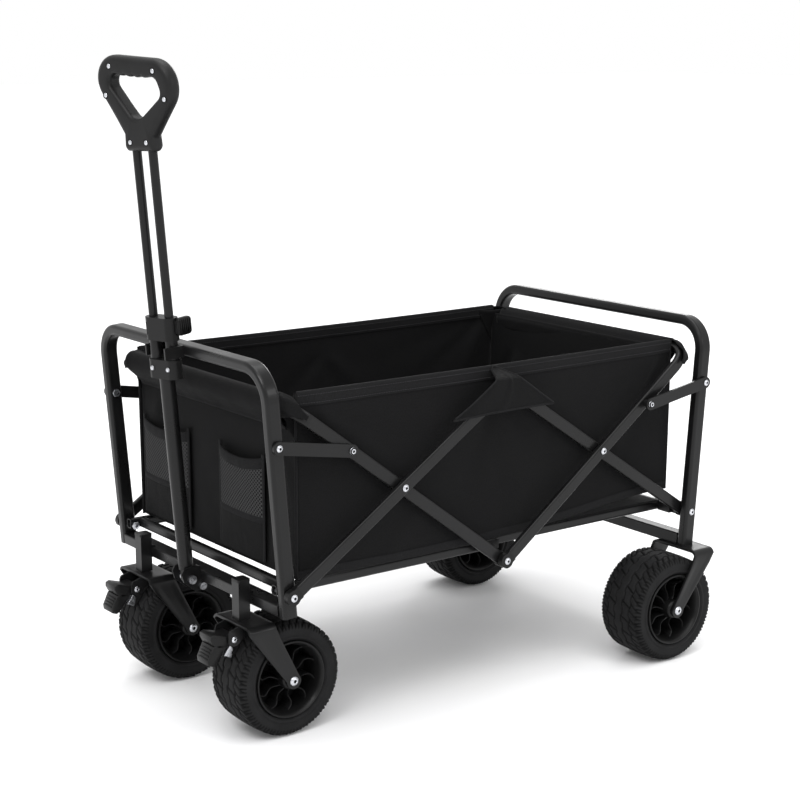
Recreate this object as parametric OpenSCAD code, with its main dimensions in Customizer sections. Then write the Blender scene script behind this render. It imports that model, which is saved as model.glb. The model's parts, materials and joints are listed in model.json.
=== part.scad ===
// Folding camp wagon: two tube end frames joined by crossed folding bars, a fabric basket,
// a pull handle at the front and four wide wheels, the front pair on braked casters.
// Millimetres. +X runs from the handle end to the rear, +Y into the depth, +Z up.
// The wheels stand on Z = 0.

/* [End frames] */
// half the distance between the lower pivots of the two end frames
half_span = 410; // [380:5:430]
// height of those pivots
pivot_z = 249; // [240:1:258]
// how far the end frames lean outwards, in degrees
lean = 4.5; // [3:0.5:5]
// top of the front frame above its pivot
front_top = 352; // [345:1:360]
// top of the rear frame above its pivot
rear_top = 340; // [335:1:350]
// tube size along X
tube_x = 25; // [22:1:26]
// tube size across the frame
tube_y = 18; // [16:1:20]
// outer corner radius of the frames
frame_r = 58; // [45:1:70]

/* [Folding bars] */
// height of each crossing above the end pivots
cross_rise = 136.5; // [130:0.5:142]
// how far the bottom pivots sit below the end pivots
bottom_drop = 17; // [12:1:20]
// crossing to the cross tube of a U bar
u_reach = 252; // [246:1:253]
// crossing to the short link's rivet
link_reach = 116.7; // [110:0.1:122]
// height of the short link's frame bolt above the end pivot
link_height = 229; // [222:1:236]
// bar height and thickness
bar_h = 20; // [18:1:21]
bar_t = 10; // [9:1:10]
// wall of every tube
wall = 1.5; // [1.2:0.1:2]

/* [Floor and basket] */
// half the basket's length
basket_half = 384; // [378:1:384]
// half the basket's width
basket_y = 239; // [230:1:239]
// underside and top edge of the fabric
basket_z0 = 261; // [261:1:265]
basket_z1 = 551; // [540:1:556]
// fabric wall
cloth = 3; // [2:0.5:3]

/* [Wheels] */
// tyre radius and width
wheel_r = 92; // [86:1:92]
wheel_w = 92; // [84:1:92]
// sideways position of the front and rear wheels
front_wheel_y = 154; // [153:1:156]
rear_wheel_y = 264; // [264:1:268]
// swivel axis to front axle
trail = 60; // [50:1:61]
// fork strap thickness
strap = 4; // [3:0.5:4]

/* [Handle] */
// height of the grip's lower end above the front pivot
grip_base = 649; // [620:1:680]
// turn of the upper handle about its tube, in degrees
handle_turn = 15; // [0:1:20]
// spacing of the two rods
rod_gap = 34; // [32:1:36]
// rod, sleeve and lower tube diameters
rod_d = 14; // [12:0.5:14]
sleeve_d = 20; // [18:0.5:20]
lower_d = 24; // [22:0.5:25]

/* [Hidden] */
$fn = 48;
// middle of the folding bars along X, so that the whole wagon is centred on X = 0
mid_x = 42;
bolt_d = 8;
// running fit on a bolt, added to the diameter
run = 0.1;
head_d = 12;
head_t = 3;
// middle of the inner and outer bar layers
layer_i = 254;
layer_o = 266;
front_leg_y = layer_i + bar_t / 2 - tube_y / 2;
rear_leg_y = layer_o - bar_t / 2 + tube_y / 2;
front_foot = -35;
fork_z = 190;
p1 = [mid_x - half_span, pivot_z];
p3 = [mid_x + half_span, pivot_z];
cf = [mid_x - half_span / 2, pivot_z + cross_rise];
cr = [mid_x + half_span / 2, pivot_z + cross_rise];
apex = [mid_x, pivot_z + 2 * cross_rise];
low = [mid_x, pivot_z - bottom_drop];
bar_len = norm(apex - p1);
u_dir = (cf - low) / norm(cf - low);
u_len = norm(cf - low) + u_reach;
u_tilt = atan2(u_dir[0], u_dir[1]);
df = cf + u_dir * link_reach;
lf = [p1[0] - link_height * sin(lean), pivot_z + link_height * cos(lean)];
link_len = norm(df - lf);
link_a = atan2(df[1] - lf[1], df[0] - lf[0]);
cap_r = 12;
link_t = 4;
rail_t = 14;
rail_h = 16;
rail_z = pivot_z + 3;
rail_front_y = 228;
rail_rear_y = 212;
swivel_x = p1[0] - 21;
front_axle_x = swivel_x + trail;
rear_axle_x = p3[0] - 65;
side_gap = 3.5;
fork_y = wheel_w / 2 + side_gap + strap / 2;
axle_d = 12;
stem_d = 12;
handle_x = -29.5;
// pivot pin and lower end of the handle tube, above the front frame's pivot
handle_pivot = -28;
handle_foot = -13;
bracket_bolt = [-12, -43];
collar_t = 26;
lower_collar = [300, 330];
upper_collar = [360, 396];

// ---- helpers ----

module front_end() {
    translate([p1[0], 0, p1[1]]) rotate([0, -lean, 0]) children();
}

module rear_end() {
    translate([p3[0], 0, p3[1]]) rotate([0, lean, 0]) children();
}

module both_sides() {
    children();
    mirror([0, 1, 0]) children();
}

// mirror across the middle of the folding bars
module other_end() {
    translate([2 * mid_x, 0, 0]) mirror([1, 0, 0]) children();
}

// cylinder along Y between two Y values
module rod_y(p, y0, y1, d) {
    translate([p[0], y1, p[1]]) rotate([90, 0, 0]) cylinder(d = d, h = y1 - y0);
}

// bolt along Y: head at y1, shank in to y0, nut at y0
module bolt(p, y0, y1, d = bolt_d, nut = true) {
    rod_y(p, y0, y1, d);
    rod_y(p, y1, y1 + head_t, head_d);
    if (nut) {
        rod_y(p, y0 - 4, y0, d + 6);
    }
}

module rounded_box_2d(w, h, r) {
    offset(r = r, $fn = 16) square([w - 2 * r, h - 2 * r], center = true);
}

module tube_2d(w, h) {
    r = 0.3 * min(w, h);
    difference() {
        rounded_box_2d(w, h, r);
        rounded_box_2d(w - 2 * wall, h - 2 * wall, r - wall);
    }
}

// straight bar along X from s to e, centred on Y = 0 and Z = 0
module bar(s, e, t, h) {
    translate([s, 0, 0]) rotate([90, 0, 90]) linear_extrude(e - s) tube_2d(t, h);
}

// put children on the line from a to b, X along it
module along(a, b) {
    translate([a[0], 0, a[1]]) rotate([0, -atan2(b[1] - a[1], b[0] - a[0]), 0]) children();
}

// inverted U in the YZ plane: legs centred on |y| = half, from z0 up to top
module u_tube(half, z0, top, r, dx, dy) {
    both_sides() translate([0, half, z0]) linear_extrude(top - r - z0) tube_2d(dx, dy);
    both_sides() translate([0, half + dy / 2 - r, top - r]) rotate([90, 0, 90])
        rotate_extrude(angle = 90) translate([r - dy / 2, 0]) tube_2d(dy, dx);
    translate([0, -(half + dy / 2 - r), top - dy / 2]) rotate([-90, 0, 0])
        linear_extrude(2 * (half + dy / 2 - r)) tube_2d(dx, dy);
}

// plastic end cap centred on a pivot, its plug reaching along +X into the bar
module end_cap(y) {
    translate([0, y, 0]) difference() {
        union() {
            rotate([90, 0, 0]) cylinder(r = cap_r, h = bar_t, center = true);
            translate([0, -bar_t / 2, -bar_h / 2]) cube([cap_r + 2, bar_t, bar_h]);
        }
        rotate([90, 0, 0]) cylinder(d = bolt_d + run, h = bar_t + 2, center = true);
    }
}

// ---- front frame ----

module front_frame() {
    color("#26272a") front_end() difference() {
        u_tube(front_leg_y, front_foot, front_top, frame_r, tube_x, tube_y);
        both_sides() rod_y([0, 0], front_leg_y - 20, front_leg_y + 20, bolt_d);
        both_sides() rod_y([0, link_height], front_leg_y - 20, front_leg_y + 20, bolt_d);
    }
}

module cross_bar_shape(z0, h, half, w) {
    translate([0, half, z0 + h / 2]) rotate([90, 0, 0]) linear_extrude(2 * half)
        difference() {
            rounded_box_2d(tube_x, h, 2);
            if (w > 0) {
                rounded_box_2d(tube_x - 2 * w, h - 2 * w, 1);
            }
        }
}

module front_cross_bar() {
    color("#26272a") front_end() cross_bar_shape(front_foot, 18, front_leg_y - tube_y / 2, wall);
}

module caster_posts() {
    color("#26272a") difference() {
        both_sides() translate([swivel_x - 10, front_wheel_y - 10, fork_z + 1])
            cube([26, 20, 60]);
        both_sides() translate([swivel_x, front_wheel_y, fork_z]) cylinder(d = stem_d + run, h = 55);
        front_end() cross_bar_shape(front_foot, 18, front_leg_y, 0);
        translate([swivel_x + 10, -200, fork_z]) cube([20, 400, 24]);
        translate([swivel_x + 10, -200, 234]) cube([20, 400, 30]);
    }
}

module post_caps() {
    color("#1b1b1d") both_sides() translate([swivel_x, front_wheel_y, fork_z + 61])
        linear_extrude(4) rounded_box_2d(22, 22, 3);
}

module handle_bracket() {
    color("#2a2b2e") front_end() both_sides() translate([0, 16, 0]) rotate([90, 0, 0])
        linear_extrude(3) difference() {
            polygon([[-12.5, -10], [-20, -6], [-42, -9], [-47, -16], [-44, -30], [-24, -50],
                [-6, -50], [-4, -36], [-12.5, -36]]);
            translate([handle_x, handle_pivot]) circle(d = bolt_d);
            translate(bracket_bolt) circle(d = 6);
        }
}

module handle_bracket_bolts() {
    color("#c9ccd0") front_end() {
        bolt([handle_x, handle_pivot], -16, 16);
        bolt(bracket_bolt, -16, 16, 6);
    }
}

module bracket_spring() {
    color("#c9ccd0") front_end() both_sides() translate([handle_x, 5.9, handle_pivot])
        rotate([-90, 0, 0]) for (k = [0:2]) {
            translate([0, 0, 2.6 * k]) rotate_extrude() translate([5.6, 0]) circle(d = 1.8);
        }
}

module handle_clip() {
    color("#1b1b1d") front_end() {
        translate([-14.6, -31.5, front_top - 18]) cube([2.1, 63, 18]);
        both_sides() translate([-46, 27.5, front_top - 18]) cube([31.4, 4, 18]);
    }
}

module front_pivot_bolts() {
    color("#c9ccd0") both_sides() {
        bolt(p1, 220, layer_o + bar_t / 2);
        rod_y(p1, 235.2, 240.8, 14);
        rod_y(p1, 259.2, 260.8, 14);
        bolt(lf, front_leg_y - tube_y / 2, 260.4 + link_t);
    }
}

// ---- folding bars ----

module front_outer_bars() {
    color("#2b2c2f") along(p1, apex) both_sides() difference() {
        translate([0, layer_o, 0]) bar(cap_r + 2, bar_len - cap_r - 2, bar_t, bar_h);
        rod_y([bar_len / 2, 0], layer_o - 20, layer_o + 20, bolt_d);
    }
}

module front_outer_caps() {
    color("#1b1b1d") both_sides() {
        along(p1, apex) end_cap(layer_o);
        along(apex, p1) end_cap(layer_o);
    }
}

module front_bar_bolts() {
    color("#c9ccd0") both_sides() {
        bolt(cf, 248.5, layer_o + bar_t / 2);
        rod_y(cf, 259.2, 261, 14);
        bolt(apex, 248.5, layer_o + bar_t / 2);
        rod_y(apex, 259.2, 261, 14);
    }
}

module u_bar(y, cross_d) {
    translate([low[0], 0, low[1]]) rotate([0, u_tilt, 0]) difference() {
        u_tube(y, cap_r + 2, u_len, 45, bar_h, bar_t);
        both_sides() rod_y([0, u_len - u_reach], y - 20, y + 20, cross_d);
    }
}

module front_u_bar() {
    color("#2b2c2f") u_bar(layer_i, bolt_d + run);
}

module front_u_caps() {
    color("#1b1b1d") both_sides() along(low, cf) end_cap(layer_i);
}

module rear_outer_bars() {
    color("#2b2c2f") along(apex, p3) both_sides() difference() {
        translate([0, layer_i, 0]) bar(cap_r + 2, bar_len - cap_r - 2, bar_t, bar_h);
        rod_y([bar_len / 2, 0], layer_i - 20, layer_i + 20, bolt_d);
    }
}

module rear_outer_caps() {
    color("#1b1b1d") both_sides() {
        along(apex, p3) end_cap(layer_i);
        along(p3, apex) end_cap(layer_i);
    }
}

module rear_bar_bolts() {
    color("#c9ccd0") both_sides() {
        bolt(cr, layer_i - bar_t / 2, layer_o + bar_t / 2 + 0.5);
        rod_y(cr, 259, 260.8, 14);
    }
}

module rear_u_bar() {
    color("#2b2c2f") other_end() u_bar(layer_o, bolt_d + run);
}

module rear_u_caps() {
    color("#1b1b1d") both_sides() along(low, cr) end_cap(layer_o);
}

// the bottom pivot is left open: its bolt ends just short of the inner bar
module bottom_pivot_bolts() {
    color("#c9ccd0") both_sides() bolt(low, 260, layer_o + bar_t / 2, bolt_d + run, false);
}

// ---- rear frame ----

module rear_frame() {
    color("#26272a") difference() {
        rear_end() difference() {
            u_tube(rear_leg_y, -70, rear_top, frame_r, tube_x, tube_y);
            both_sides() rod_y([0, 0], rear_leg_y - 20, rear_leg_y + 20, bolt_d);
            both_sides() rod_y([0, link_height], rear_leg_y - 20, rear_leg_y + 20, bolt_d);
        }
        translate([p3[0] - 60, -300, fork_z - 40]) cube([120, 600, 40]);
    }
}

module rear_cross_bar() {
    color("#26272a") difference() {
        rear_end() cross_bar_shape(-62, 22, rear_leg_y - tube_y / 2, wall);
        translate([p3[0] - 60, -300, fork_z - 40]) cube([120, 600, 40]);
    }
}

// strap fork over a wheel: plate from x0 to x1 at the wheel's middle, legs down to the axle
module fork(x0, x1, ax, bore) {
    translate([x0, -fork_y - strap / 2, fork_z - strap]) cube([x1 - x0, 2 * fork_y + strap, strap]);
    both_sides() translate([0, fork_y + strap / 2, 0]) rotate([90, 0, 0])
        linear_extrude(strap) difference() {
            hull() {
                translate([x0, fork_z - strap - 14]) square([x1 - x0, 14]);
                translate([ax, wheel_r]) circle(r = 13);
            }
            translate([ax, wheel_r]) circle(d = bore);
        }
}

module axle(ax) {
    rod_y([ax, wheel_r], -fork_y - strap / 2 - 4, fork_y + strap / 2 + 4, axle_d);
    both_sides() rod_y([ax, wheel_r], fork_y + strap / 2, fork_y + strap / 2 + 4, 16);
}

module rear_forks() {
    color("#2b2c2f") both_sides() translate([0, rear_wheel_y, 0]) {
        fork(p3[0] - 26, p3[0] + 19, rear_axle_x, axle_d);
        axle(rear_axle_x);
    }
}

module rear_pivot_bolts() {
    color("#c9ccd0") both_sides() {
        bolt(p3, 238, rear_leg_y + tube_y / 2);
        rod_y(p3, 247.3, 248.7, 14);
        rod_y(p3, 259.3, 261, 14);
        other_end() bolt(lf, rear_leg_y - tube_y / 2, 281.4 + link_t);
    }
}

// ---- short links ----

module link_plate(y0) {
    difference() {
        translate([0, y0 + link_t, 0]) rotate([90, 0, 0]) linear_extrude(link_t) hull() {
            circle(r = 10);
            translate([link_len, 0]) circle(r = 10);
        }
        rod_y([0, 0], y0 - 2, y0 + link_t + 2, bolt_d + run);
    }
}

module front_links() {
    color("#3a3b3e") both_sides() along(lf, df) {
        link_plate(260.2);
        rod_y([link_len, 0], 260.2 + link_t, 260.2 + link_t + head_t, 11);
    }
}

module rear_links() {
    color("#3a3b3e") both_sides() other_end() along(lf, df) {
        link_plate(281.2);
        rod_y([link_len, 0], 271.5, 281.2, 12);
        rod_y([link_len, 0], 281.2 + link_t, 281.2 + link_t + head_t, 11);
    }
}

// ---- floor frames ----

module rail(y, bore) {
    difference() {
        translate([0, y, 3]) bar(-8, half_span + 6, rail_t, rail_h);
        rod_y([0, 0], y - 20, y + 20, bore);
    }
}

module floor_cross_tube(x, half) {
    translate([x, half, 3]) rotate([90, 0, 0]) linear_extrude(2 * half)
        tube_2d(rail_t, rail_h);
}

module floor_frame_front() {
    color("#26272a") translate([p1[0], 0, p1[1]]) {
        both_sides() rail(rail_front_y, bolt_d + run);
        floor_cross_tube(16, rail_front_y - rail_t / 2);
        floor_cross_tube(230, rail_front_y - rail_t / 2);
    }
}

module floor_frame_rear() {
    color("#26272a") other_end() translate([p1[0], 0, p1[1]]) {
        both_sides() rail(rail_rear_y, bolt_d + run);
        floor_cross_tube(230, rail_rear_y - rail_t / 2);
        floor_cross_tube(16, rail_rear_y - rail_t / 2);
        both_sides() translate([9, rail_rear_y + rail_t / 2, -5]) cube([14, 28, 16]);
        both_sides() difference() {
            translate([-9, 239, -8]) cube([18, 8, 19]);
            rod_y([0, 0], 235, 250, bolt_d + run);
        }
    }
}

module floor_block(y) {
    translate([half_span + 6, y - rail_t / 2, -rail_h / 2 + 3]) cube([5, rail_t, rail_h]);
}

module floor_blocks_front() {
    color("#1b1b1d") translate([p1[0], 0, p1[1]]) both_sides() floor_block(rail_front_y);
}

module floor_blocks_rear() {
    color("#1b1b1d") other_end() translate([p1[0], 0, p1[1]]) both_sides() floor_block(rail_rear_y);
}

// ---- fabric basket ----

module end_wall() {
    translate([mid_x - basket_half, -basket_y + cloth, basket_z0])
        cube([cloth, 2 * (basket_y - cloth), basket_z1 - basket_z0]);
}

module basket_front_wall() {
    color("#1f2022") end_wall();
}

module basket_rear_wall() {
    color("#1f2022") other_end() end_wall();
}

module basket_side_walls() {
    color("#1f2022") both_sides()
        translate([mid_x - basket_half, basket_y - cloth, basket_z0])
            cube([2 * basket_half, cloth, basket_z1 - basket_z0]);
}

module basket_floor() {
    color("#1f2022") translate([mid_x - basket_half + cloth, -basket_y + cloth, basket_z0])
        cube([2 * (basket_half - cloth), 2 * (basket_y - cloth), cloth]);
}

module pocket(y0, y1) {
    x1 = mid_x - basket_half;
    translate([x1 - 12, y0, basket_z0 + 8]) difference() {
        cube([12, y1 - y0, 170]);
        translate([2, 2, 2]) cube([12, y1 - y0 - 4, 170]);
    }
}

module front_pockets() {
    color("#2a2b2d") {
        pocket(-175, -22);
        pocket(72, 225);
    }
}

module hood() {
    u = cf + u_dir * (u_reach - bar_t / 2);
    translate([u[0], 222, u[1]]) rotate([90, 0, 0]) difference() {
        cylinder(r = 14.5, h = 444);
        translate([0, 0, -1]) cylinder(r = 13, h = 446);
    }
}

module tube_hoods() {
    color("#1f2022") {
        hood();
        other_end() hood();
    }
}

module apex_flaps() {
    color("#232426") both_sides() translate([mid_x, 0, 0]) {
        translate([0, 279, 0]) rotate([90, 0, 0]) linear_extrude(2)
            polygon([[-118, 479], [-14, 546], [-6, 546], [88, 483], [30, 480], [-60, 479]]);
        translate([-14, basket_y, 546]) cube([8, 40, 2]);
    }
}

// ---- handle ----

module on_handle() {
    front_end() translate([handle_x, 0, 0]) children();
}

module turned() {
    on_handle() rotate([0, 0, handle_turn]) children();
}

// rounded block around the two rods, between two heights
module pair_block(z, t) {
    translate([0, 0, z[0]]) linear_extrude(z[1] - z[0]) hull() {
        translate([0, rod_gap / 2]) circle(d = t);
        translate([0, -rod_gap / 2]) circle(d = t);
    }
}

module at_rods() {
    both_sides() translate([0, rod_gap / 2, 0]) children();
}

module handle_tube() {
    color("#2b2c2f") on_handle() difference() {
        union() {
            translate([0, 0, handle_foot]) cylinder(d = lower_d, h = 317);
            translate([-9, -4, handle_pivot]) cube([18, 8, handle_foot - handle_pivot]);
            rod_y([0, handle_pivot], -4, 4, 18);
        }
        translate([0, 0, handle_foot + 14]) cylinder(d = lower_d - 3, h = 400);
        rod_y([0, handle_pivot], -20, 20, bolt_d + run);
    }
}

module handle_lower_collar() {
    color("#1b1b1d") difference() {
        turned() pair_block(lower_collar, collar_t);
        on_handle() translate([0, 0, lower_collar[0] - 1]) cylinder(d = lower_d, h = 15);
        turned() at_rods() translate([0, 0, lower_collar[0] + 17]) cylinder(d = sleeve_d, h = 30);
    }
    color("#c9ccd0") turned() at_rods() translate([-collar_t / 2 - 1.5, 0, 316])
        rotate([0, 90, 0]) cylinder(d = 7, h = 1.5);
}

module handle_sleeves() {
    color("#2b2c2f") turned() at_rods() difference() {
        translate([0, 0, lower_collar[0] + 17]) cylinder(d = sleeve_d, h = 68);
        translate([0, 0, lower_collar[0] + 16]) cylinder(d = rod_d + run, h = 70);
    }
}

module handle_upper_collar() {
    color("#1b1b1d") turned() difference() {
        pair_block(upper_collar, collar_t);
        at_rods() translate([0, 0, upper_collar[0] - 1]) cylinder(d = sleeve_d, h = 26);
        at_rods() translate([0, 0, upper_collar[0]]) cylinder(d = rod_d + run, h = 60);
        translate([-collar_t / 2 - 1, rod_gap / 2 + 2, upper_collar[0] + 8]) cube([3, 6, 20]);
    }
}

module lock_lever() {
    color("#1b1b1d") turned() translate([0, -rod_gap / 2 - collar_t / 2 - 0.4, 0]) {
        translate([0, -8, upper_collar[0] + 8]) cube([26, 8, 28]);
        for (k = [0:5]) {
            translate([3 + 3 * k, -9.2, upper_collar[0] + 10]) cube([1.6, 1.2, 24]);
        }
    }
}

module handle_rods() {
    color("#2b2c2f") turned() at_rods() translate([0, 0, lower_collar[0] + 48]) difference() {
        cylinder(d = rod_d, h = grip_base + 18 - lower_collar[0] - 48);
        translate([0, 0, -1]) cylinder(d = rod_d - 3, h = 400);
    }
}

// closed loop of the grip, drawn in the plane of its face
module grip_face() {
    difference() {
        union() {
            hull() {
                translate([-43, 107]) circle(r = 36);
                translate([37, 95]) circle(r = 42);
                translate([-22, 26]) circle(r = 8);
                translate([24, 26]) circle(r = 8);
            }
            translate([-29, 0]) square([58, 34]);
        }
        hull() {
            translate([-37, 102]) circle(r = 13);
            translate([36, 96]) circle(r = 14);
            translate([40, 88]) circle(r = 13);
            translate([1, 64]) circle(r = 15);
        }
    }
}

module grip() {
    color("#1b1b1d") turned() difference() {
        translate([13, 0, grip_base]) rotate([90, 0, -90]) linear_extrude(26) grip_face();
        at_rods() translate([0, 0, grip_base - 1]) cylinder(d = rod_d, h = 19);
    }
}

module grip_screws() {
    color("#c9ccd0") turned() for (s = [[-46, 130], [30, 124], [-58, 84], [64, 80], [-17, 14],
        [17, 14]]) {
        translate([-14, -s[0], grip_base + s[1]]) rotate([0, 90, 0]) cylinder(d = 7, h = 1);
    }
}

// ---- casters and wheels ----

module caster_fork() {
    color("#2b2c2f") translate([swivel_x, 0, 0]) {
        fork(-18, 30, trail, axle_d);
        axle(trail);
        translate([0, 0, fork_z]) cylinder(d = stem_d, h = 50);
        translate([0, 0, fork_z]) cylinder(d = 22, h = 0.8);
        both_sides() translate([0, 22, 0]) rotate([90, 0, 0]) linear_extrude(3) difference() {
            polygon([[-16, 186], [-34, 180], [-34, 160], [-22, 158], [-10, 172], [-10, 186]]);
            translate([-26, 168]) circle(d = 6);
        }
        pedal_pin();
    }
}

module pedal_pin() {
    rod_y([-26, 168], -22, 22, 6);
    both_sides() rod_y([-26, 168], 22, 24, 10);
}

module pedal_lobe(a, b, r) {
    translate([0, 18, 0]) rotate([90, 0, 0]) linear_extrude(36) hull() {
        translate(a) circle(r = r);
        translate(b) circle(r = r);
    }
}

module brake_pedal() {
    color("#1b1b1d") translate([swivel_x, 0, 0]) difference() {
        union() {
            pedal_lobe([-26, 168], [-40, 165], 8);
            pedal_lobe([-40, 164], [-64, 136], 6);
            pedal_lobe([-40, 167], [-60, 176], 5);
        }
        rod_y([-26, 168], -20, 20, 6 + run);
    }
}

// tyre section: radius outwards, width along the axle
module tyre() {
    h = wheel_w / 2;
    translate([0, 0, wheel_r]) rotate([90, 0, 0]) rotate_extrude() difference() {
        polygon([[62, -h + 6], [66, -h], [wheel_r - 8, -h], [wheel_r - 2.5, -h + 6],
            [wheel_r, -h + 18], [wheel_r, h - 18], [wheel_r - 2.5, h - 6], [wheel_r - 8, h],
            [66, h], [62, h - 6]]);
        for (y = [-20, -7, 7, 20]) {
            translate([wheel_r - 4, y - 1.5]) square([8, 3]);
        }
    }
}

module wheel_hub() {
    h = wheel_w / 2;
    translate([0, 0, wheel_r]) rotate([90, 0, 0]) difference() {
        union() {
            rotate_extrude() polygon([[55, -h + 1], [62, -h + 1], [62, h - 1], [55, h - 1]]);
            cylinder(d = 30, h = wheel_w + 2, center = true);
            cylinder(r = 56, h = 5, center = true);
            for (a = [0:36:359]) {
                rotate([0, 0, a]) translate([14, -1.5, -18]) cube([42, 3, 36]);
            }
        }
        cylinder(d = axle_d + run, h = wheel_w + 10, center = true);
    }
}

module at_caster(s) {
    translate([0, s * front_wheel_y, 0]) children();
}

module at_front_wheel(s) {
    translate([front_axle_x, s * front_wheel_y, 0]) children();
}

module at_rear_wheel(s) {
    translate([rear_axle_x, s * rear_wheel_y, 0]) children();
}

module caster_fork_left() {
    at_caster(-1) caster_fork();
}

module caster_fork_right() {
    at_caster(1) caster_fork();
}

module brake_pedal_left() {
    at_caster(-1) brake_pedal();
}

module brake_pedal_right() {
    at_caster(1) brake_pedal();
}

module wheel_hub_front_left() {
    color("#18181a") at_front_wheel(-1) wheel_hub();
}

module tyre_front_left() {
    color("#2d2e30") at_front_wheel(-1) tyre();
}

module wheel_hub_front_right() {
    color("#18181a") at_front_wheel(1) wheel_hub();
}

module tyre_front_right() {
    color("#2d2e30") at_front_wheel(1) tyre();
}

module wheel_hub_rear_left() {
    color("#18181a") at_rear_wheel(-1) wheel_hub();
}

module tyre_rear_left() {
    color("#2d2e30") at_rear_wheel(-1) tyre();
}

module wheel_hub_rear_right() {
    color("#18181a") at_rear_wheel(1) wheel_hub();
}

module tyre_rear_right() {
    color("#2d2e30") at_rear_wheel(1) tyre();
}

front_frame();
front_cross_bar();
caster_posts();
post_caps();
handle_bracket();
handle_bracket_bolts();
bracket_spring();
handle_clip();
front_pivot_bolts();
front_outer_bars();
front_outer_caps();
front_bar_bolts();
front_u_bar();
front_u_caps();
rear_outer_bars();
rear_outer_caps();
rear_bar_bolts();
rear_u_bar();
rear_u_caps();
bottom_pivot_bolts();
rear_frame();
rear_cross_bar();
rear_forks();
rear_pivot_bolts();
front_links();
rear_links();
floor_frame_front();
floor_frame_rear();
floor_blocks_front();
floor_blocks_rear();
basket_front_wall();
basket_rear_wall();
basket_side_walls();
basket_floor();
front_pockets();
tube_hoods();
apex_flaps();
handle_tube();
handle_lower_collar();
handle_sleeves();
handle_upper_collar();
lock_lever();
handle_rods();
grip();
grip_screws();
caster_fork_left();
caster_fork_right();
brake_pedal_left();
brake_pedal_right();
wheel_hub_front_left();
tyre_front_left();
wheel_hub_front_right();
tyre_front_right();
wheel_hub_rear_left();
tyre_rear_left();
wheel_hub_rear_right();
tyre_rear_right();
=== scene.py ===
import json
import math
from math import cos, exp, pi, radians, sin
import bpy
from mathutils import Vector, Matrix, noise


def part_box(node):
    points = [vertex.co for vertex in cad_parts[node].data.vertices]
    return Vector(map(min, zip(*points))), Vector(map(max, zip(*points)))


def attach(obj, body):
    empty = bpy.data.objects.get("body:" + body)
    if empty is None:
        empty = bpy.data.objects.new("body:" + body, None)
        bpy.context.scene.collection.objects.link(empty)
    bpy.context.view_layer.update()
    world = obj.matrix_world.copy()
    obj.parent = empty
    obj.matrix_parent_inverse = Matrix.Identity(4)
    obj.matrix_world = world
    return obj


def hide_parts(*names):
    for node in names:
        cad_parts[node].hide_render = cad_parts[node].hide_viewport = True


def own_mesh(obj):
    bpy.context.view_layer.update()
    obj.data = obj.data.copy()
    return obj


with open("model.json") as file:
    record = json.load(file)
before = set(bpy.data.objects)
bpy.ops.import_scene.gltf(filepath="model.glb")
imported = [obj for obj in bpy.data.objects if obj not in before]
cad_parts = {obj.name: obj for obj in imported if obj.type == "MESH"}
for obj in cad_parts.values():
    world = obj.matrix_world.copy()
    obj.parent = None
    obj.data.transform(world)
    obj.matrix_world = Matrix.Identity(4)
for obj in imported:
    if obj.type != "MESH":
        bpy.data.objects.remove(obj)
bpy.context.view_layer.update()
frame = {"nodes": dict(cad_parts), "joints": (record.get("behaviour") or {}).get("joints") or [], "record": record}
joints = {j["name"]: j for j in frame["joints"]}
scene = bpy.context.scene


def pivot(joint):
    return Vector(joints[joint]["pos_m"])


def link(ob):
    scene.collection.objects.link(ob)
    return ob


P1 = pivot("fold")
P3 = pivot("rear_lower_pivot")
MID = (P1.x + P3.x) / 2
LEAN = radians(4.5)
TURN = radians(15)
MM = 0.001

# ---- camera, floor, light
cam_data = bpy.data.cameras.new("camera")
cam_data.sensor_width = 36
cam_data.lens = 79.98
cam = link(bpy.data.objects.new("camera", cam_data))
cam.location = (MID - 1.7774, -2.3811, 1.0729)
cam.rotation_euler = Vector((0.5823, 0.7869, -0.2045)).to_track_quat("-Z", "Y").to_euler()
scene.camera = cam
scene.view_settings.view_transform = "Standard"
scene.view_settings.look = "None"


def area_light(name, loc, target, size, power):
    data = bpy.data.lights.new(name, "AREA")
    data.shape = "RECTANGLE"
    data.size, data.size_y = size
    data.energy = power
    ob = bpy.data.objects.new(name, data)
    ob.location = loc
    ob.rotation_euler = (Vector(target) - Vector(loc)).to_track_quat("-Z", "Y").to_euler()
    link(ob)


area_light("key", (-2.6, -1.6, 3.4), (0, 0, 0.3), (1.3, 1.3), 42)
area_light("side", (1.2, -3.6, 2.0), (0, 0, 0.3), (1.6, 1.0), 24)
area_light("top", (0.2, 0.6, 3.6), (0, 0, 0.4), (1.8, 1.8), 34)
area_light("rim", (2.8, 2.4, 1.8), (0, 0, 0.4), (1.0, 1.5), 24)
sun_data = bpy.data.lights.new("sun", "SUN")
sun_data.energy = 1.3
sun_data.angle = 0.9
sun = bpy.data.objects.new("sun", sun_data)
sun.rotation_euler = (radians(18), radians(-14), 0)
link(sun)

world = bpy.data.worlds.new("studio")
world.use_nodes = True
world.node_tree.nodes["Background"].inputs[0].default_value = (1, 1, 1, 1)
world.node_tree.nodes["Background"].inputs[1].default_value = 1.0
scene.world = world


# ---- materials
def material(name, color, rough, metallic=0.0, sheen=0.0, coat=0.0, spec=0.35):
    m = bpy.data.materials.new(name)
    m.use_nodes = True
    b = m.node_tree.nodes["Principled BSDF"]
    b.inputs["Base Color"].default_value = (*color, 1)
    b.inputs["Roughness"].default_value = rough
    b.inputs["Metallic"].default_value = metallic
    b.inputs["Sheen Weight"].default_value = sheen
    b.inputs["Sheen Roughness"].default_value = 0.4
    b.inputs["Coat Weight"].default_value = coat
    b.inputs["Specular IOR Level"].default_value = spec
    return m, m.node_tree, b


def add(nt, kind, **values):
    n = nt.nodes.new(kind)
    for k, v in values.items():
        setattr(n, k, v)
    return n


def object_coord(nt):
    return add(nt, "ShaderNodeTexCoord").outputs["Object"]


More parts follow.
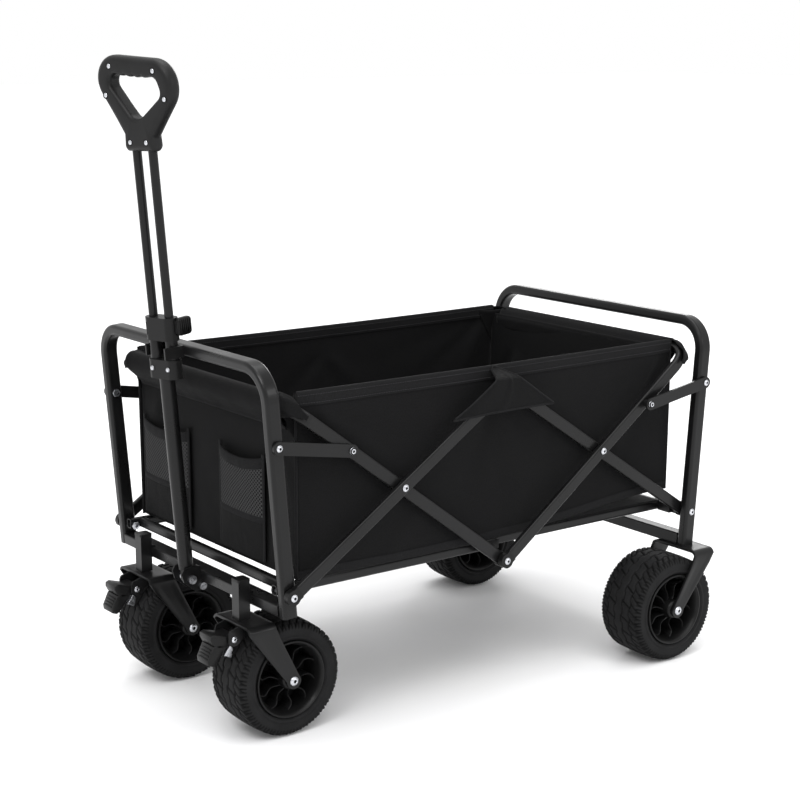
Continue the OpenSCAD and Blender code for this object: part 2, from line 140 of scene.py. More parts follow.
def noise_tex(nt, coord, scale, detail=3.0, rough=0.5):
    n = add(nt, "ShaderNodeTexNoise")
    n.inputs["Scale"].default_value = scale
    n.inputs["Detail"].default_value = detail
    n.inputs["Roughness"].default_value = rough
    nt.links.new(coord, n.inputs["Vector"])
    return n.outputs["Fac"]


def mapped(nt, value, lo, hi, a=0.3, b=0.7):
    n = add(nt, "ShaderNodeMapRange")
    n.inputs["From Min"].default_value = a
    n.inputs["From Max"].default_value = b
    n.inputs["To Min"].default_value = lo
    n.inputs["To Max"].default_value = hi
    nt.links.new(value, n.inputs["Value"])
    return n.outputs["Result"]


def math_node(nt, op, a, b):
    n = add(nt, "ShaderNodeMath", operation=op)
    for socket, v in zip(n.inputs, (a, b)):
        if isinstance(v, (int, float)):
            socket.default_value = v
        else:
            nt.links.new(v, socket)
    return n.outputs[0]


def tint(nt, bsdf, fac, dark, light):
    ramp = add(nt, "ShaderNodeValToRGB")
    ramp.color_ramp.elements[0].color = (*dark, 1)
    ramp.color_ramp.elements[1].color = (*light, 1)
    nt.links.new(fac, ramp.inputs["Fac"])
    nt.links.new(ramp.outputs["Color"], bsdf.inputs["Base Color"])


def bump(nt, bsdf, height, strength, distance):
    n = add(nt, "ShaderNodeBump")
    n.inputs["Strength"].default_value = strength
    n.inputs["Distance"].default_value = distance
    nt.links.new(height, n.inputs["Height"])
    nt.links.new(n.outputs["Normal"], bsdf.inputs["Normal"])


def powder_coat(name, level, rough):
    """satin powder coat: fine orange peel, slightly worn and dusty"""
    m, nt, b = material(name, (level, level, level * 1.06), rough, coat=0.05, spec=0.2)
    obj = object_coord(nt)
    peel = noise_tex(nt, obj, 1100, 2)
    cloud = noise_tex(nt, obj, 14, 5, 0.6)
    nt.links.new(mapped(nt, cloud, rough - 0.06, rough + 0.09), b.inputs["Roughness"])
    tint(nt, b, mapped(nt, cloud, 0, 1), (level * 0.85,) * 3, (level * 1.2, level * 1.2, level * 1.26))
    bump(nt, b, peel, 0.25, 0.00012)
    return m


def plastic(name, level, rough):
    """moulded plastic with a fine spark-eroded grain"""
    m, nt, b = material(name, (level, level, level * 1.04), rough, spec=0.2)
    obj = object_coord(nt)
    grain = noise_tex(nt, obj, 1700, 3, 0.7)
    cloud = noise_tex(nt, obj, 22, 4)
    nt.links.new(mapped(nt, cloud, rough - 0.05, rough + 0.07), b.inputs["Roughness"])
    tint(nt, b, mapped(nt, cloud, 0, 1), (level * 0.85,) * 3, (level * 1.15, level * 1.15, level * 1.2))
    bump(nt, b, grain, 0.35, 0.00015)
    return m


def rubber(name):
    m, nt, b = material(name, (0.011, 0.011, 0.012), 0.7, spec=0.12)
    obj = object_coord(nt)
    dust = noise_tex(nt, obj, 26, 6, 0.65)
    grain = noise_tex(nt, obj, 900, 3, 0.7)
    # the tread grooves are painted near black: painted shade in the grooves, multiplied into the random dust
    # mottling
    cut = add(nt, "ShaderNodeAttribute", attribute_name="groove").outputs["Fac"]
    shade = math_node(nt, "MULTIPLY", mapped(nt, dust, 0.35, 1), math_node(nt, "SUBTRACT", 1.0, cut))
    tint(nt, b, shade, (0.0006, 0.0006, 0.0006), (0.0145, 0.0145, 0.015))
    nt.links.new(mapped(nt, dust, 0.62, 0.8), b.inputs["Roughness"])
    bump(nt, b, grain, 0.4, 0.0002)
    return m


def zinc(name):
    m, nt, b = material(name, (0.6, 0.61, 0.64), 0.3, metallic=1.0)
    obj = object_coord(nt)
    cloud = noise_tex(nt, obj, 240, 5, 0.7)
    nt.links.new(mapped(nt, cloud, 0.2, 0.42), b.inputs["Roughness"])
    tint(nt, b, mapped(nt, cloud, 0, 1), (0.48, 0.49, 0.52), (0.68, 0.69, 0.72))
    bump(nt, b, cloud, 0.15, 0.0001)
    return m


def wave(nt, coord, scale, direction):
    n = add(nt, "ShaderNodeTexWave", wave_type="BANDS", bands_direction=direction)
    n.inputs["Scale"].default_value = scale
    n.inputs["Distortion"].default_value = 0.6
    n.inputs["Detail"].default_value = 1.0
    nt.links.new(coord, n.inputs["Vector"])
    return n.outputs["Fac"]


def cloth(name, level, pitch, ribbed=False):
    """coarse plain weave; UV are in metres along the cloth"""
    m, nt, b = material(name, (level, level, level * 1.08), 0.82, sheen=0.02, spec=0.1)
    uv = add(nt, "ShaderNodeUVMap").outputs["UV"]
    scale = 0.314 / pitch
    warp = wave(nt, uv, scale, "X")
    weft = wave(nt, uv, scale, "Y")
    weave = warp if ribbed else math_node(nt, "MAXIMUM", warp, weft)
    slub = noise_tex(nt, uv, 420, 4, 0.7)
    fade = noise_tex(nt, uv, 5, 4, 0.55)
    shade = math_node(nt, "ADD", math_node(nt, "MULTIPLY", slub, 0.75), math_node(nt, "MULTIPLY", fade, 0.25))
    tint(nt, b, mapped(nt, shade, 0, 1, 0.34, 0.66), (level * 0.55,) * 3,
         (level * 1.5, level * 1.5, level * 1.62))
    nt.links.new(mapped(nt, fade, 0.74, 0.9), b.inputs["Roughness"])
    height = math_node(nt, "ADD", weave, math_node(nt, "MULTIPLY", slub, 0.9))
    bump(nt, b, height, 0.6, 0.00035)
    return m


def net(name):
    """opaque knitted mesh: a diamond lattice of threads, the holes painted near black as painted shade of the
    pocket's inside over the dark wall behind
    """
    m, nt, b = material(name, (0.01, 0.01, 0.01), 0.75, spec=0.1)
    uv = add(nt, "ShaderNodeUVMap").outputs["UV"]
    turn = add(nt, "ShaderNodeMapping")
    turn.inputs["Rotation"].default_value = (0, 0, radians(45))
    nt.links.new(uv, turn.inputs["Vector"])
    lattice = math_node(nt, "MAXIMUM", wave(nt, turn.outputs[0], 66, "X"), wave(nt, turn.outputs[0], 66, "Y"))
    threads_over_shaded_holes = mapped(nt, lattice, 0, 1, 0.62, 0.82)
    # the holes get painted shade, darker than the cloth seen through them
    tint(nt, b, threads_over_shaded_holes, (0.0008, 0.0008, 0.0008), (0.04, 0.04, 0.041))
    bump(nt, b, threads_over_shaded_holes, 0.7, 0.0006)
    return m


FRAME_PAINT = powder_coat("frame_paint", 0.0055, 0.3)
BAR_PAINT = powder_coat("bar_paint", 0.006, 0.3)
STRAP_PAINT = powder_coat("strap_paint", 0.0065, 0.34)
PLASTIC = plastic("black_plastic", 0.0045, 0.38)
GRIP_PLASTIC = plastic("grip_plastic", 0.008, 0.45)
ZINC = zinc("zinc_steel")
RUBBER = rubber("tread_rubber")
CLOTH = cloth("polyester", 0.0046, 0.0016)
BINDING = cloth("binding_tape", 0.0078, 0.0022, ribbed=True)
NET = net("pocket_net")
THREAD = cloth("thread", 0.03, 0.0008, ribbed=True)
# near-black plastic for bolt sockets, grip screw recess rings and the wheels' inner web: painted shade in recesses
RECESS_SHADE = plastic("recess_painted_shade", 0.002, 0.6)

BY_SLOT = {"frame_paint": FRAME_PAINT, "bar_paint": BAR_PAINT, "strap_paint": STRAP_PAINT,
           "black_plastic": PLASTIC, "zinc_steel": ZINC, "tread_rubber": RUBBER,
           "polyester": CLOTH, "pocket_mesh": NET}
slot_of = {s["node"]: s["material_slot"] for s in frame["record"]["subparts"]}
for node_name, ob in frame["nodes"].items():
    ob.data.materials.clear()
    ob.data.materials.append(BY_SLOT[slot_of[node_name]])


# ---- mesh helpers
def mesh_object(name, verts, faces, mats, smooth=True, uvs=None, face_mats=None):
    me = bpy.data.meshes.new(name)
    me.from_pydata([tuple(v) for v in verts], [], faces)
    layer = me.uv_layers.new(name="UVMap")
    for poly in me.polygons:
        poly.use_smooth = smooth
        for li in poly.loop_indices:
            v = me.loops[li].vertex_index
            layer.data[li].uv = uvs[v] if uvs else (verts[v][0] + verts[v][1], verts[v][2])
    for m in mats if isinstance(mats, (list, tuple)) else [mats]:
        me.materials.append(m)
    if face_mats:
        for poly, k in zip(me.polygons, face_mats):
            poly.material_index = k
    me.update()
    return link(bpy.data.objects.new(name, me))


def grid_faces(nu, nv, wrap_u=False, wrap_v=False, base=0):
    faces = []
    for i in range(nu if wrap_u else nu - 1):
        for j in range(nv if wrap_v else nv - 1):
            a, b = i * nv + j, ((i + 1) % nu) * nv + j
            c, d = ((i + 1) % nu) * nv + (j + 1) % nv, i * nv + (j + 1) % nv
            faces.append((base + a, base + b, base + c, base + d))
    return faces


def sheet_mesh(name, nu, nv, place, size, mat, thick=0.0016):
    """curved sheet: place(u, v) with u, v from 0 to 1, size its flat size for the weave"""
    verts, uvs = [], []
    for i in range(nu):
        for j in range(nv):
            u, v = i / (nu - 1), j / (nv - 1)
            verts.append(place(u, v))
            uvs.append((u * size[0], v * size[1]))
    ob = mesh_object(name, verts, grid_faces(nu, nv), mat, uvs=uvs)
    thicken(ob, thick, 0.0)
    return ob


def thicken(ob, thick, offset):
    mod = ob.modifiers.new("thickness", "SOLIDIFY")
    mod.thickness = thick
    mod.offset = offset
    return mod


def merged(name, parts, mats, smooth=True):
    """parts: (verts, faces, material index)"""
    verts, faces, idx = [], [], []
    for v, f, k in parts:
        base = len(verts)
        verts += [tuple(p) for p in v]
        faces += [tuple(base + i for i in q) for q in f]
        idx += [k] * len(f)
    return mesh_object(name, verts, faces, mats, smooth, face_mats=idx)


def lathe(profile, steps, frame_matrix=None):
    """profile of (radius, height) turned about Z, closed at radius 0"""
    verts, faces = [], []
    n = len(profile)
    for i in range(steps):
        a = 2 * pi * i / steps
        for r, z in profile:
            verts.append(Vector((r * cos(a), r * sin(a), z)))
    faces = grid_faces(steps, n, wrap_u=True)
    if frame_matrix:
        verts = [frame_matrix @ v for v in verts]
    return verts, faces


def to_y(point, sign):
    """matrix that points Z along sign * Y, at point"""
    return Matrix.Translation(point) @ Matrix.Rotation(-sign * pi / 2, 4, "X")


def bolt_parts(point, sign, r, thick):
    """pan head with a hexagon socket, standing on the face at point; slot 0 is zinc, 1 the socket, painted dark as
    painted shade
    """
    e = 0.0006
    m = to_y(point, sign)
    head = [(0.0001, 0), (r, 0), (r, e * 1.6), (r - e, e * 2.4), (r * 0.8, thick * 0.62),
            (r * 0.62, thick * 0.92), (r * 0.46, thick), (r * 0.4, thick), (r * 0.36, thick * 0.8)]
    v, f = lathe(head, 32, m)
    hole = [(r * 0.36, thick * 0.8), (r * 0.34, thick * 0.3), (0.0001, thick * 0.3)]
    v2, f2 = lathe(hole, 6, m @ Matrix.Rotation(0.3, 4, "Z"))
    return [(v, f, 0), (v2, f2, 1)]


def bevel(ob, width, segments=2):
    mod = ob.modifiers.new("edges", "BEVEL")
    mod.width = width
    mod.segments = segments
    mod.limit_method = "ANGLE"


def split_edges(ob, degrees):
    mod = ob.modifiers.new("edges", "EDGE_SPLIT")
    mod.split_angle = radians(degrees)


def facing(point, direction):
    """matrix that points Z along the direction, at point"""
    return Matrix.Translation(point) @ direction.to_track_quat("Z", "Y").to_matrix().to_4x4()


def front_local(x, y, z):
    """point of the leaning front frame's own axes, millimetres, to the row frame in metres"""
    c, s = cos(LEAN), sin(LEAN)
    return Vector((P1.x + (x * c - z * s) * MM, y * MM, P1.z + (x * s + z * c) * MM))


HANDLE_X = -29.5


def on_handle(x, y, z):
    """point in the turned upper handle's axes"""
    c, s = cos(TURN), sin(TURN)
    return front_local(HANDLE_X + x * c - y * s, x * s + y * c, z)


# ---- tyres and hubs
WHEEL_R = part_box("tyre_rear_left")[1][2] / 2
HALF_W = (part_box("tyre_rear_left")[1][1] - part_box("tyre_rear_left")[0][1]) / 2


TREAD_PITCHES = 22
TREAD_FLAT = 0.0257
SPOKES = 10


def saw(x):
    return x - math.floor(x)


def groove(d, half):
    """0 in the groove, 1 outside, with a short slope"""
    return max(0.0, min(1.0, (abs(d) - half) / 0.0012 + 0.5))


def tread_cut(angle, w):
    """1 in a groove, 0 on a block: a plain middle rib, two block rows, slit shoulders"""
    t = w / HALF_W
    side = 1 if t > 0 else -1
    pitch = angle / (2 * pi) * TREAD_PITCHES
    step = 0.0016 * math.tanh(4 * sin(2 * pi * pitch))
    keep = 1.0
    for k, c in enumerate((-0.0255, -0.0085, 0.0085, 0.0255)):
        keep = min(keep, groove(w - c * (HALF_W / 0.045) - step * (1 if k % 2 else -1), 0.0011))
    if 0.19 < abs(t) < 0.57:
        skew = 0.9 * (abs(t) - 0.36) * side
        keep = min(keep, groove((saw(pitch + skew + 0.25) - 0.5) * TREAD_FLAT, 0.0011))
    if 0.57 <= abs(t):
        slant = 2.6 * (abs(t) - 0.7) * side
        keep = min(keep, groove((saw(2 * pitch + slant) - 0.5) * 0.0128, 0.001))
    if abs(t) > 0.86:
        keep = min(keep, groove((saw(4 * pitch) - 0.5) * 0.0064, 0.0009))
    return 1 - keep


def tyre_section():
    half, profile = 76, []
    for k in range(half + 1):
        w = -HALF_W + 2 * HALF_W * k / half
        t = abs(w) / HALF_W
        profile.append((w, WHEEL_R - 0.0022 * t ** 2 - 0.006 * max(0, (t - 0.86) / 0.14) ** 2, True))
    side = [(0.0, 0.0805), (-0.0003, 0.077), (0.0006, 0.073), (0.0006, 0.0695), (-0.0006, 0.0685),
            (-0.0006, 0.0665), (0.0012, 0.0655), (0.002, 0.0630), (0.006, 0.0620)]
    return ([(-HALF_W + a, r, False) for a, r in reversed(side)] + profile
            + [(HALF_W - a, r, False) for a, r in side])


STEPS = 396
TREAD_DEPTH = 0.0036
SECTION = tyre_section()
TREAD = [[tread_cut(2 * pi * i / STEPS, w) if cut else 0.0 for w, r, cut in SECTION] for i in range(STEPS)]


def tyre(name, centre, node, body):
    verts, uvs = [], []
    for i, row in enumerate(TREAD):
        a = 2 * pi * i / STEPS
        c, q = cos(a), sin(a)
        for (w, r, _), cut in zip(SECTION, row):
            rr = r - cut * TREAD_DEPTH
            verts.append((centre.x + rr * c, centre.y + w, centre.z + rr * q))
            uvs.append((a * 0.09, w))
    ob = mesh_object(name, verts, grid_faces(STEPS, len(SECTION), wrap_u=True), RUBBER, uvs=uvs)
    # per-point groove mask, which the rubber material uses to paint shade into the tread grooves
    groove_shade_mask = ob.data.attributes.new("groove", "FLOAT", "POINT")
    groove_shade_mask.data.foreach_set("value", [cut for row in TREAD for cut in row])
    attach(ob, body)
    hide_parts(node)


def hub(name, centre, node, body):
    parts = []
    h = HALF_W
    for sgn in (-1, 1):
        m = to_y(centre, sgn)
        rim = [(0.0618, h - 0.0065), (0.0620, h - 0.002), (0.0608, h + 0.0003), (0.0592, h + 0.0006),
               (0.0575, h - 0.0008), (0.0552, h - 0.005), (0.0528, h - 0.011), (0.0515, h - 0.016),
               (0.0510, h - 0.022), (0.0500, 0.004)]
        parts.append((*lathe(rim, 72, m), 0))
        # the web between the spokes takes the near-black slot 1: painted shade deep inside the wheel
        back = [(0.0500, 0.004), (0.0155, 0.004)]
        parts.append((*lathe(back, 72, m), 1))
        boss = [(0.0060, h + 0.0009), (0.0115, h + 0.0009), (0.0145, h - 0.0005), (0.0158, h - 0.004),
                (0.0165, 0.004)]
        parts.append((*lathe(boss, 40, m), 0))
        for k in range(SPOKES):
            base = 2 * pi * k / SPOKES
            v, n = [], 15
            for i in range(n):
                s = i / (n - 1)
                r = 0.0150 + s * (0.0535 - 0.0150)
                a = base + sgn * (0.30 * s + 0.11 * sin(2 * pi * s))
                top = h - 0.012 - 0.010 * sin(pi * s) ** 2 * 0.6
                half = 0.0011
                tang = Vector((-sin(a), cos(a), 0))
                out = Vector((cos(a), sin(a), 0))
                slope = 0.30 + 0.11 * 2 * pi * cos(2 * pi * s)
                side = (tang - out * sgn * slope * r / 0.0385).normalized() * half
                p = out * r
                v += [m @ (p - side + Vector((0, 0, 0.003))), m @ (p - side + Vector((0, 0, top - 0.001))),
                      m @ (p - side * 0.4 + Vector((0, 0, top))), m @ (p + side * 0.4 + Vector((0, 0, top))),
                      m @ (p + side + Vector((0, 0, top - 0.001))), m @ (p + side + Vector((0, 0, 0.003)))]
            parts.append((v, grid_faces(n, 6), 0))
    barrel = [(0.0618, -h + 0.0065), (0.0618, h - 0.0065)]
    parts.append((*lathe(barrel, 72, to_y(centre, 1)), 0))
    ob = merged(name, parts, [PLASTIC, RECESS_SHADE])
    split_edges(ob, 50)
    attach(ob, body)
    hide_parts(node)


# ---- strap forks
FORK_TOP = 0.190
STRAP_T = 0.004
FORK_HALF = (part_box("caster_fork_left")[1][1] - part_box("caster_fork_left")[0][1]) / 2 - 0.004
END_R = 0.013


def fork_strap(name, centre, x0, x1, mats):
    """bent steel strap: a plate over the wheel and two tapering legs down to the axle"""
    half, bend = FORK_HALF - STRAP_T / 2, 0.009
    top = FORK_TOP - STRAP_T / 2
    leg = top - bend - centre.z
    verts, uvs = [], []
    cols = 9
    seq = []
    for i in range(12):
        d = END_R * (1 - cos(pi * (i / 5) / 2)) - END_R if i < 6 else leg * (i - 5) / 7
        seq.append((-half, centre.z + d, d))
    for i in range(1, 7):
        a = pi / 2 * i / 6
        seq.append((-half + bend * (1 - cos(a)), top - bend + bend * sin(a), None))
    for i in range(1, 8):
        seq.append((-half + bend + (half - bend) * i / 7, top, None))
    seq = seq + [(-y, z, d) for y, z, d in reversed(seq[:-1])]
    for y, z, d in seq:
        f = 1.0 if d is None else max(0.0, min(1.0, d / leg))
        lo = (centre.x - END_R) + f * (x0 - centre.x + END_R)
        hi = (centre.x + END_R) + f * (x1 - centre.x - END_R)
        if d is not None and d < 0:
            w = math.sqrt(max(END_R ** 2 - d ** 2, 1e-8))
            lo, hi = centre.x - w, centre.x + w
        for c in range(cols):
            u = c / (cols - 1)
            x = lo + (hi - lo) * u
            # a shallow pressed panel in each leg
            press = 0.0
            if d is not None and 0.018 < d:
                edge = min(u, 1 - u)
                press = 0.0012 * max(0, min(1, (edge - 0.16) / 0.1)) * min(1, (d - 0.018) / 0.012)
            verts.append(Vector((x, centre.y + y - math.copysign(press, y), z)))
            uvs.append((x, y + z))
    ob = mesh_object(name, verts, grid_faces(len(seq), cols), mats, uvs=uvs)
    thicken(ob, STRAP_T, 0).use_even_offset = True
    bevel(ob, 0.0012, 2)
    return ob


def fork_hardware(name, centre):
    parts = []
    r = 0.0058
    parts.append((*lathe([(0.0001, -FORK_HALF), (r, -FORK_HALF), (r, FORK_HALF), (0.0001, FORK_HALF)], 24,
                         to_y(centre, 1)), 0))
    for sgn in (-1, 1):
        parts += bolt_parts(centre + Vector((0, sgn * FORK_HALF, 0)), sgn, 0.0074, 0.0036)
    return merged(name, parts, [ZINC, RECESS_SHADE])


def caster(side, sgn):
    y = joints["caster_%s_swivel" % side]["pos_m"][1]
    sx = joints["caster_%s_swivel" % side]["pos_m"][0]
    axle = pivot("wheel_front_%s_spin" % side)
    body = "caster_" + side
    strap = fork_strap("caster_strap_" + side, axle, sx - 0.018, sx + 0.030, STRAP_PAINT)
    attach(strap, body)
    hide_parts("caster_fork_" + side)
    bolts = fork_hardware("caster_axle_" + side, axle)
    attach(bolts, body)
    parts = []
    stem = Matrix.Translation((sx, y, FORK_TOP - STRAP_T))
    kingpin = [(0.0001, 0.052), (0.006, 0.052), (0.006, 0.0048), (0.011, 0.0048), (0.011, 0.002)]
    parts.append((*lathe(kingpin, 32, stem), 0))
    pin = pivot("brake_%s_pivot" % side)
    for s in (-1, 1):
        outline = [(-16, 186.5), (-33, 181), (-35, 176), (-35, 162), (-31, 158), (-22, 158), (-17, 162),
                   (-10, 173), (-10, 186.5)]
        v = [Vector((sx + a * MM, y + s * t * MM, b * MM)) for t in (19, 22) for a, b in outline]
        n = len(outline)
        f = [tuple(range(n)), tuple(range(2 * n - 1, n - 1, -1))]
        f += [(i, (i + 1) % n, n + (i + 1) % n, n + i) for i in range(n)]
        parts.append((v, f, 0))
    ears = merged("pedal_bracket_" + side, parts, [STRAP_PAINT], smooth=False)
    bevel(ears, 0.0006)
    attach(ears, body)
    parts = []
    for s in (-1, 1):
        parts += bolt_parts(pin + Vector((0, s * 0.022, 0)), s, 0.005, 0.0022)
    parts.append((*lathe([(0.003, -0.022), (0.003, 0.022)], 20, to_y(pin, 1)), 0))
    ob = merged("pedal_pin_" + side, parts, [ZINC, RECESS_SHADE])
    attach(ob, body)
    pedal(side, sx, y)
    tyre("tyre_tread_front_" + side, axle, "tyre_front_" + side, "wheel_front_" + side)
    hub("hub_front_" + side, axle, "wheel_hub_front_" + side, "wheel_front_" + side)


def rounded_prism(outline, y0, y1, at):
    """side outline (x, z) in mm extruded from y0 to y1 with softened rims"""
    n = len(outline)
    cx = sum(p[0] for p in outline) / n
    cz = sum(p[1] for p in outline) / n
    rings = [(y0, 1.5), (y0 + 0.4, 0.6), (y0 + 1.5, 0), (y1 - 1.5, 0), (y1 - 0.4, 0.6), (y1, 1.5)]
    verts = []
    for y, inset in rings:
        for x, z in outline:
            d = math.hypot(x - cx, z - cz)
            k = (d - inset) / d
            verts.append(at(cx + (x - cx) * k, y, cz + (z - cz) * k))
    faces = grid_faces(len(rings), n, wrap_v=True)
    faces.append(tuple(range(n)))
    faces.append(tuple(range(len(verts) - 1, len(verts) - n - 1, -1)))
    return verts, faces


def lobe_outline(a, b, ra, rb, n=14):
    ang = math.atan2(b[1] - a[1], b[0] - a[0])
    pts = []
    for i in range(n + 1):
        t = ang + pi / 2 + pi * i / n
        pts.append((a[0] + ra * cos(t), a[1] + ra * sin(t)))
    for i in range(n + 1):
        t = ang - pi / 2 + pi * i / n
        pts.append((b[0] + rb * cos(t), b[1] + rb * sin(t)))
    return pts


def pedal(side, sx, y):
    at = lambda a, b, c: Vector((sx + a * MM, y + b * MM, c * MM))
    parts = []
    upper = [(-24, 161), (-19.5, 165), (-19, 170), (-24, 175.4), (-38, 174.5), (-58, 180.5), (-64, 178),
             (-64.5, 172), (-60, 163), (-52, 158), (-38, 156.5)]
    lower = [(-36, 158), (-50, 163), (-60, 161.5), (-70, 140), (-69, 133), (-62, 130.5), (-57, 133),
             (-44, 148)]
    for outline in (upper, lower):
        parts.append((*rounded_prism(outline, -17.5, 17.5, at), 0))
    for k in range(4):
        c = (-63.2 - 2.0 * k, 156.5 - 4.6 * k)
        parts.append((*rounded_prism(lobe_outline(c, (c[0] - 0.6, c[1] - 1.2), 0.9, 0.9, 6), -14, 14, at), 0))
    ob = merged("pedal_moulding_" + side, parts, [PLASTIC])
    split_edges(ob, 40)
    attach(ob, "pedal_" + side)
    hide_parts("brake_pedal_" + side)
    wedge = [(-29, 159), (-24, 151), (-28, 137), (-41, 143)]
    parts = [(*rounded_prism(wedge, -15, 15, at), 0)]
    ob = merged("brake_shoe_" + side, parts, [ZINC], smooth=False)
    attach(ob, "pedal_" + side)


caster("left", -1)
caster("right", 1)
for side in ("left", "right"):
    axle = pivot("wheel_rear_%s_spin" % side)
    strap = fork_strap("rear_strap_" + side, axle, P3.x - 0.026, P3.x + 0.019, STRAP_PAINT)
    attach(strap, "rear_frame")
    bolts = fork_hardware("rear_axle_" + side, axle)
    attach(bolts, "rear_frame")
    tyre("tyre_tread_rear_" + side, axle, "tyre_rear_" + side, "wheel_rear_" + side)
    hub("hub_rear_" + side, axle, "wheel_hub_rear_" + side, "wheel_rear_" + side)
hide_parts("rear_forks")


# ---- pivot bolts
def pivot_bolts(name, body, node, spots):
    """spots: (point, inner y, outer y, head radius, nut) in metres, on both sides"""
    parts = []
    for p, y0, y1, r, nut in spots:
        for sgn in (-1, 1):
            c = Vector((p[0], 0, p[2]))
            m = to_y(c, sgn)
            parts.append((*lathe([(0.0001, y0), (0.0039, y0), (0.0039, y1)], 20, m), 0))
            parts += bolt_parts(c + Vector((0, sgn * y1, 0)), sgn, r, 0.0029)
            if nut:
                parts.append((*lathe([(0.0036, y0 - 0.0039), (0.0066, y0 - 0.0039), (0.0069, y0 - 0.0034),
                                      (0.0069, y0), (0.004, y0)], 6, m), 0))
    ob = merged(name, parts, [ZINC, RECESS_SHADE])
    split_edges(ob, 35)
    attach(ob, body)
    if node:
        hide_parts(node)


APEX = pivot("apex_pivot")
CROSS_F = pivot("front_crossing")
CROSS_R = pivot("rear_crossing")
LINK_F = pivot("front_link_pivot")
LINK_R = pivot("rear_link_pivot")
bolt_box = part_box("bottom_pivot_bolts")
LOW = Vector(((bolt_box[0][0] + bolt_box[1][0]) / 2, 0, (bolt_box[0][2] + bolt_box[1][2]) / 2))
pivot_bolts("front_pivot_heads", "front_frame", "front_pivot_bolts",
            [(P1, 0.220, 0.271, 0.0057, True), (LINK_F, 0.241, 0.2644, 0.0052, True)])
pivot_bolts("front_bar_heads", "front_outer", "front_bar_bolts",
            [(CROSS_F, 0.2485, 0.271, 0.0057, True), (APEX, 0.2485, 0.271, 0.0057, True)])
pivot_bolts("rear_bar_heads", "rear_outer", "rear_bar_bolts", [(CROSS_R, 0.249, 0.2715, 0.0057, True)])
pivot_bolts("bottom_heads", "rear_u", "bottom_pivot_bolts", [(LOW, 0.260, 0.271, 0.0057, False)])
pivot_bolts("rear_pivot_heads", "rear_frame", "rear_pivot_bolts",
            [(P3, 0.238, 0.279, 0.0057, True), (LINK_R, 0.261, 0.2854, 0.0052, True)])

# rivets at the free ends of the short links, and on the lower collar
CROSS_MID = Vector((CROSS_F.x, 0, CROSS_F.z))
U_DIR = (CROSS_MID - LOW).normalized()
U_LEN = (CROSS_MID - LOW).length + 0.252
FREE_F = CROSS_MID + U_DIR * 0.1167
FREE_R = Vector((2 * MID - FREE_F.x, 0, FREE_F.z))
for point, y, body in ((FREE_F, 0.2642, "front_links"), (FREE_R, 0.2852, "rear_links")):
    rivets = []
    for sgn in (-1, 1):
        rivets += bolt_parts(point + Vector((0, sgn * y, 0)), sgn, 0.0058, 0.0034)
    ob = merged("link_rivets_" + body, rivets, [ZINC, RECESS_SHADE])
    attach(ob, body)
rivets = []
for y in (-17, 17):
    face = on_handle(-13, y, 316)
    direction = (on_handle(-20, y, 316) - face).normalized()
    m = facing(face, direction)
    dome = [(0.0001, 0.0021), (0.0020, 0.0020), (0.0034, 0.0014), (0.0039, 0.0005), (0.0039, 0)]
    rivets.append((*lathe(dome, 24, m), 0))
ob = merged("collar_rivets", rivets, [ZINC])
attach(ob, "handle")


# ---- lock lever
LEVER_Z = (368, 396)
corner = 6
outline = []
for cx, cz, a0 in ((26 - corner, LEVER_Z[1] - corner, 0), (corner - 2, LEVER_Z[1] - corner, 90),
                   (corner - 2, LEVER_Z[0] + corner, 180), (26 - corner, LEVER_Z[0] + corner, 270)):
    outline += [(cx + corner * cos(radians(a0 + 15 * k)), cz + corner * sin(radians(a0 + 15 * k)))
                for k in range(7)]
lever_parts = [(*rounded_prism(outline, -38.4, -30.6, on_handle), 0)]
for k in range(6):
    x = 1.2 + 4.0 * k
    rib = [(x, 371), (x + 2.2, 371), (x + 2.2, 393), (x, 393)]
    lever_parts.append((*rounded_prism(rib, -40, -37.6, on_handle), 0))
for k in range(3):
    y = -37.4 + 2.6 * k
    rib = [(-3.0, 372), (-1.2, 372), (-1.2, 392), (-3.0, 392)]
    lever_parts.append((*rounded_prism(rib, y, y + 1.5, on_handle), 0))
lever = merged("lever_moulding", lever_parts, [PLASTIC])
split_edges(lever, 40)
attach(lever, "lock_lever")
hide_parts("lock_lever")


# ---- grip
def hull_2d(points):
    pts = sorted(set(points))

    def half(seq):
        out = []
        for p in seq:
            while len(out) > 1 and ((out[-1][0] - out[-2][0]) * (p[1] - out[-2][1])
                                    - (out[-1][1] - out[-2][1]) * (p[0] - out[-2][0])) <= 0:
                out.pop()
            out.append(p)
        return out[:-1]
    return half(pts) + half(reversed(pts))


def disc(x, y, r, n=48):
    return [(round(x + r * cos(2 * pi * i / n), 4), round(y + r * sin(2 * pi * i / n), 4))
            for i in range(n)]


def ray(poly, origin, a):
    """distance from origin along angle a to the outline"""
    dx, dy = cos(a), sin(a)
    best = 0
    for (x0, y0), (x1, y1) in zip(poly, poly[1:] + poly[:1]):
        ex, ey = x1 - x0, y1 - y0
        den = dx * ey - dy * ex
        if abs(den) < 1e-9:
            continue
        t = ((x0 - origin[0]) * ey - (y0 - origin[1]) * ex) / den
        s = ((x0 - origin[0]) * dy - (y0 - origin[1]) * dx) / den
        if t > 0 and -1e-6 <= s <= 1 + 1e-6:
            best = max(best, t)
    return best


GRIP_Z = 649
grip_hull = hull_2d(disc(-43, 107, 36) + disc(37, 95, 42) + disc(-22, 26, 8) + disc(24, 26, 8))
neck = [(-29.5, 0), (29.5, 0), (28, 40), (-28, 40)]
window = hull_2d(disc(-37, 102, 13) + disc(36, 96, 14) + disc(40, 88, 13) + disc(1, 68, 19))
CENTRE = (0, 84)


def limb_section(half):
    """cross section of a limb: a wide soft edge outside, a tighter one at the window"""
    points = []
    for sw, sd, a0, r in ((1, 1, 0, 10.5), (-1, 1, 90, 7), (-1, -1, 180, 7), (1, -1, 270, 10.5)):
        r = min(r, half * 0.9)
        for k in range(7):
            a = radians(a0 + 15 * k)
            points.append((sw * (half - r) + r * cos(a), sd * (12.8 - r) + r * sin(a)))
    return points


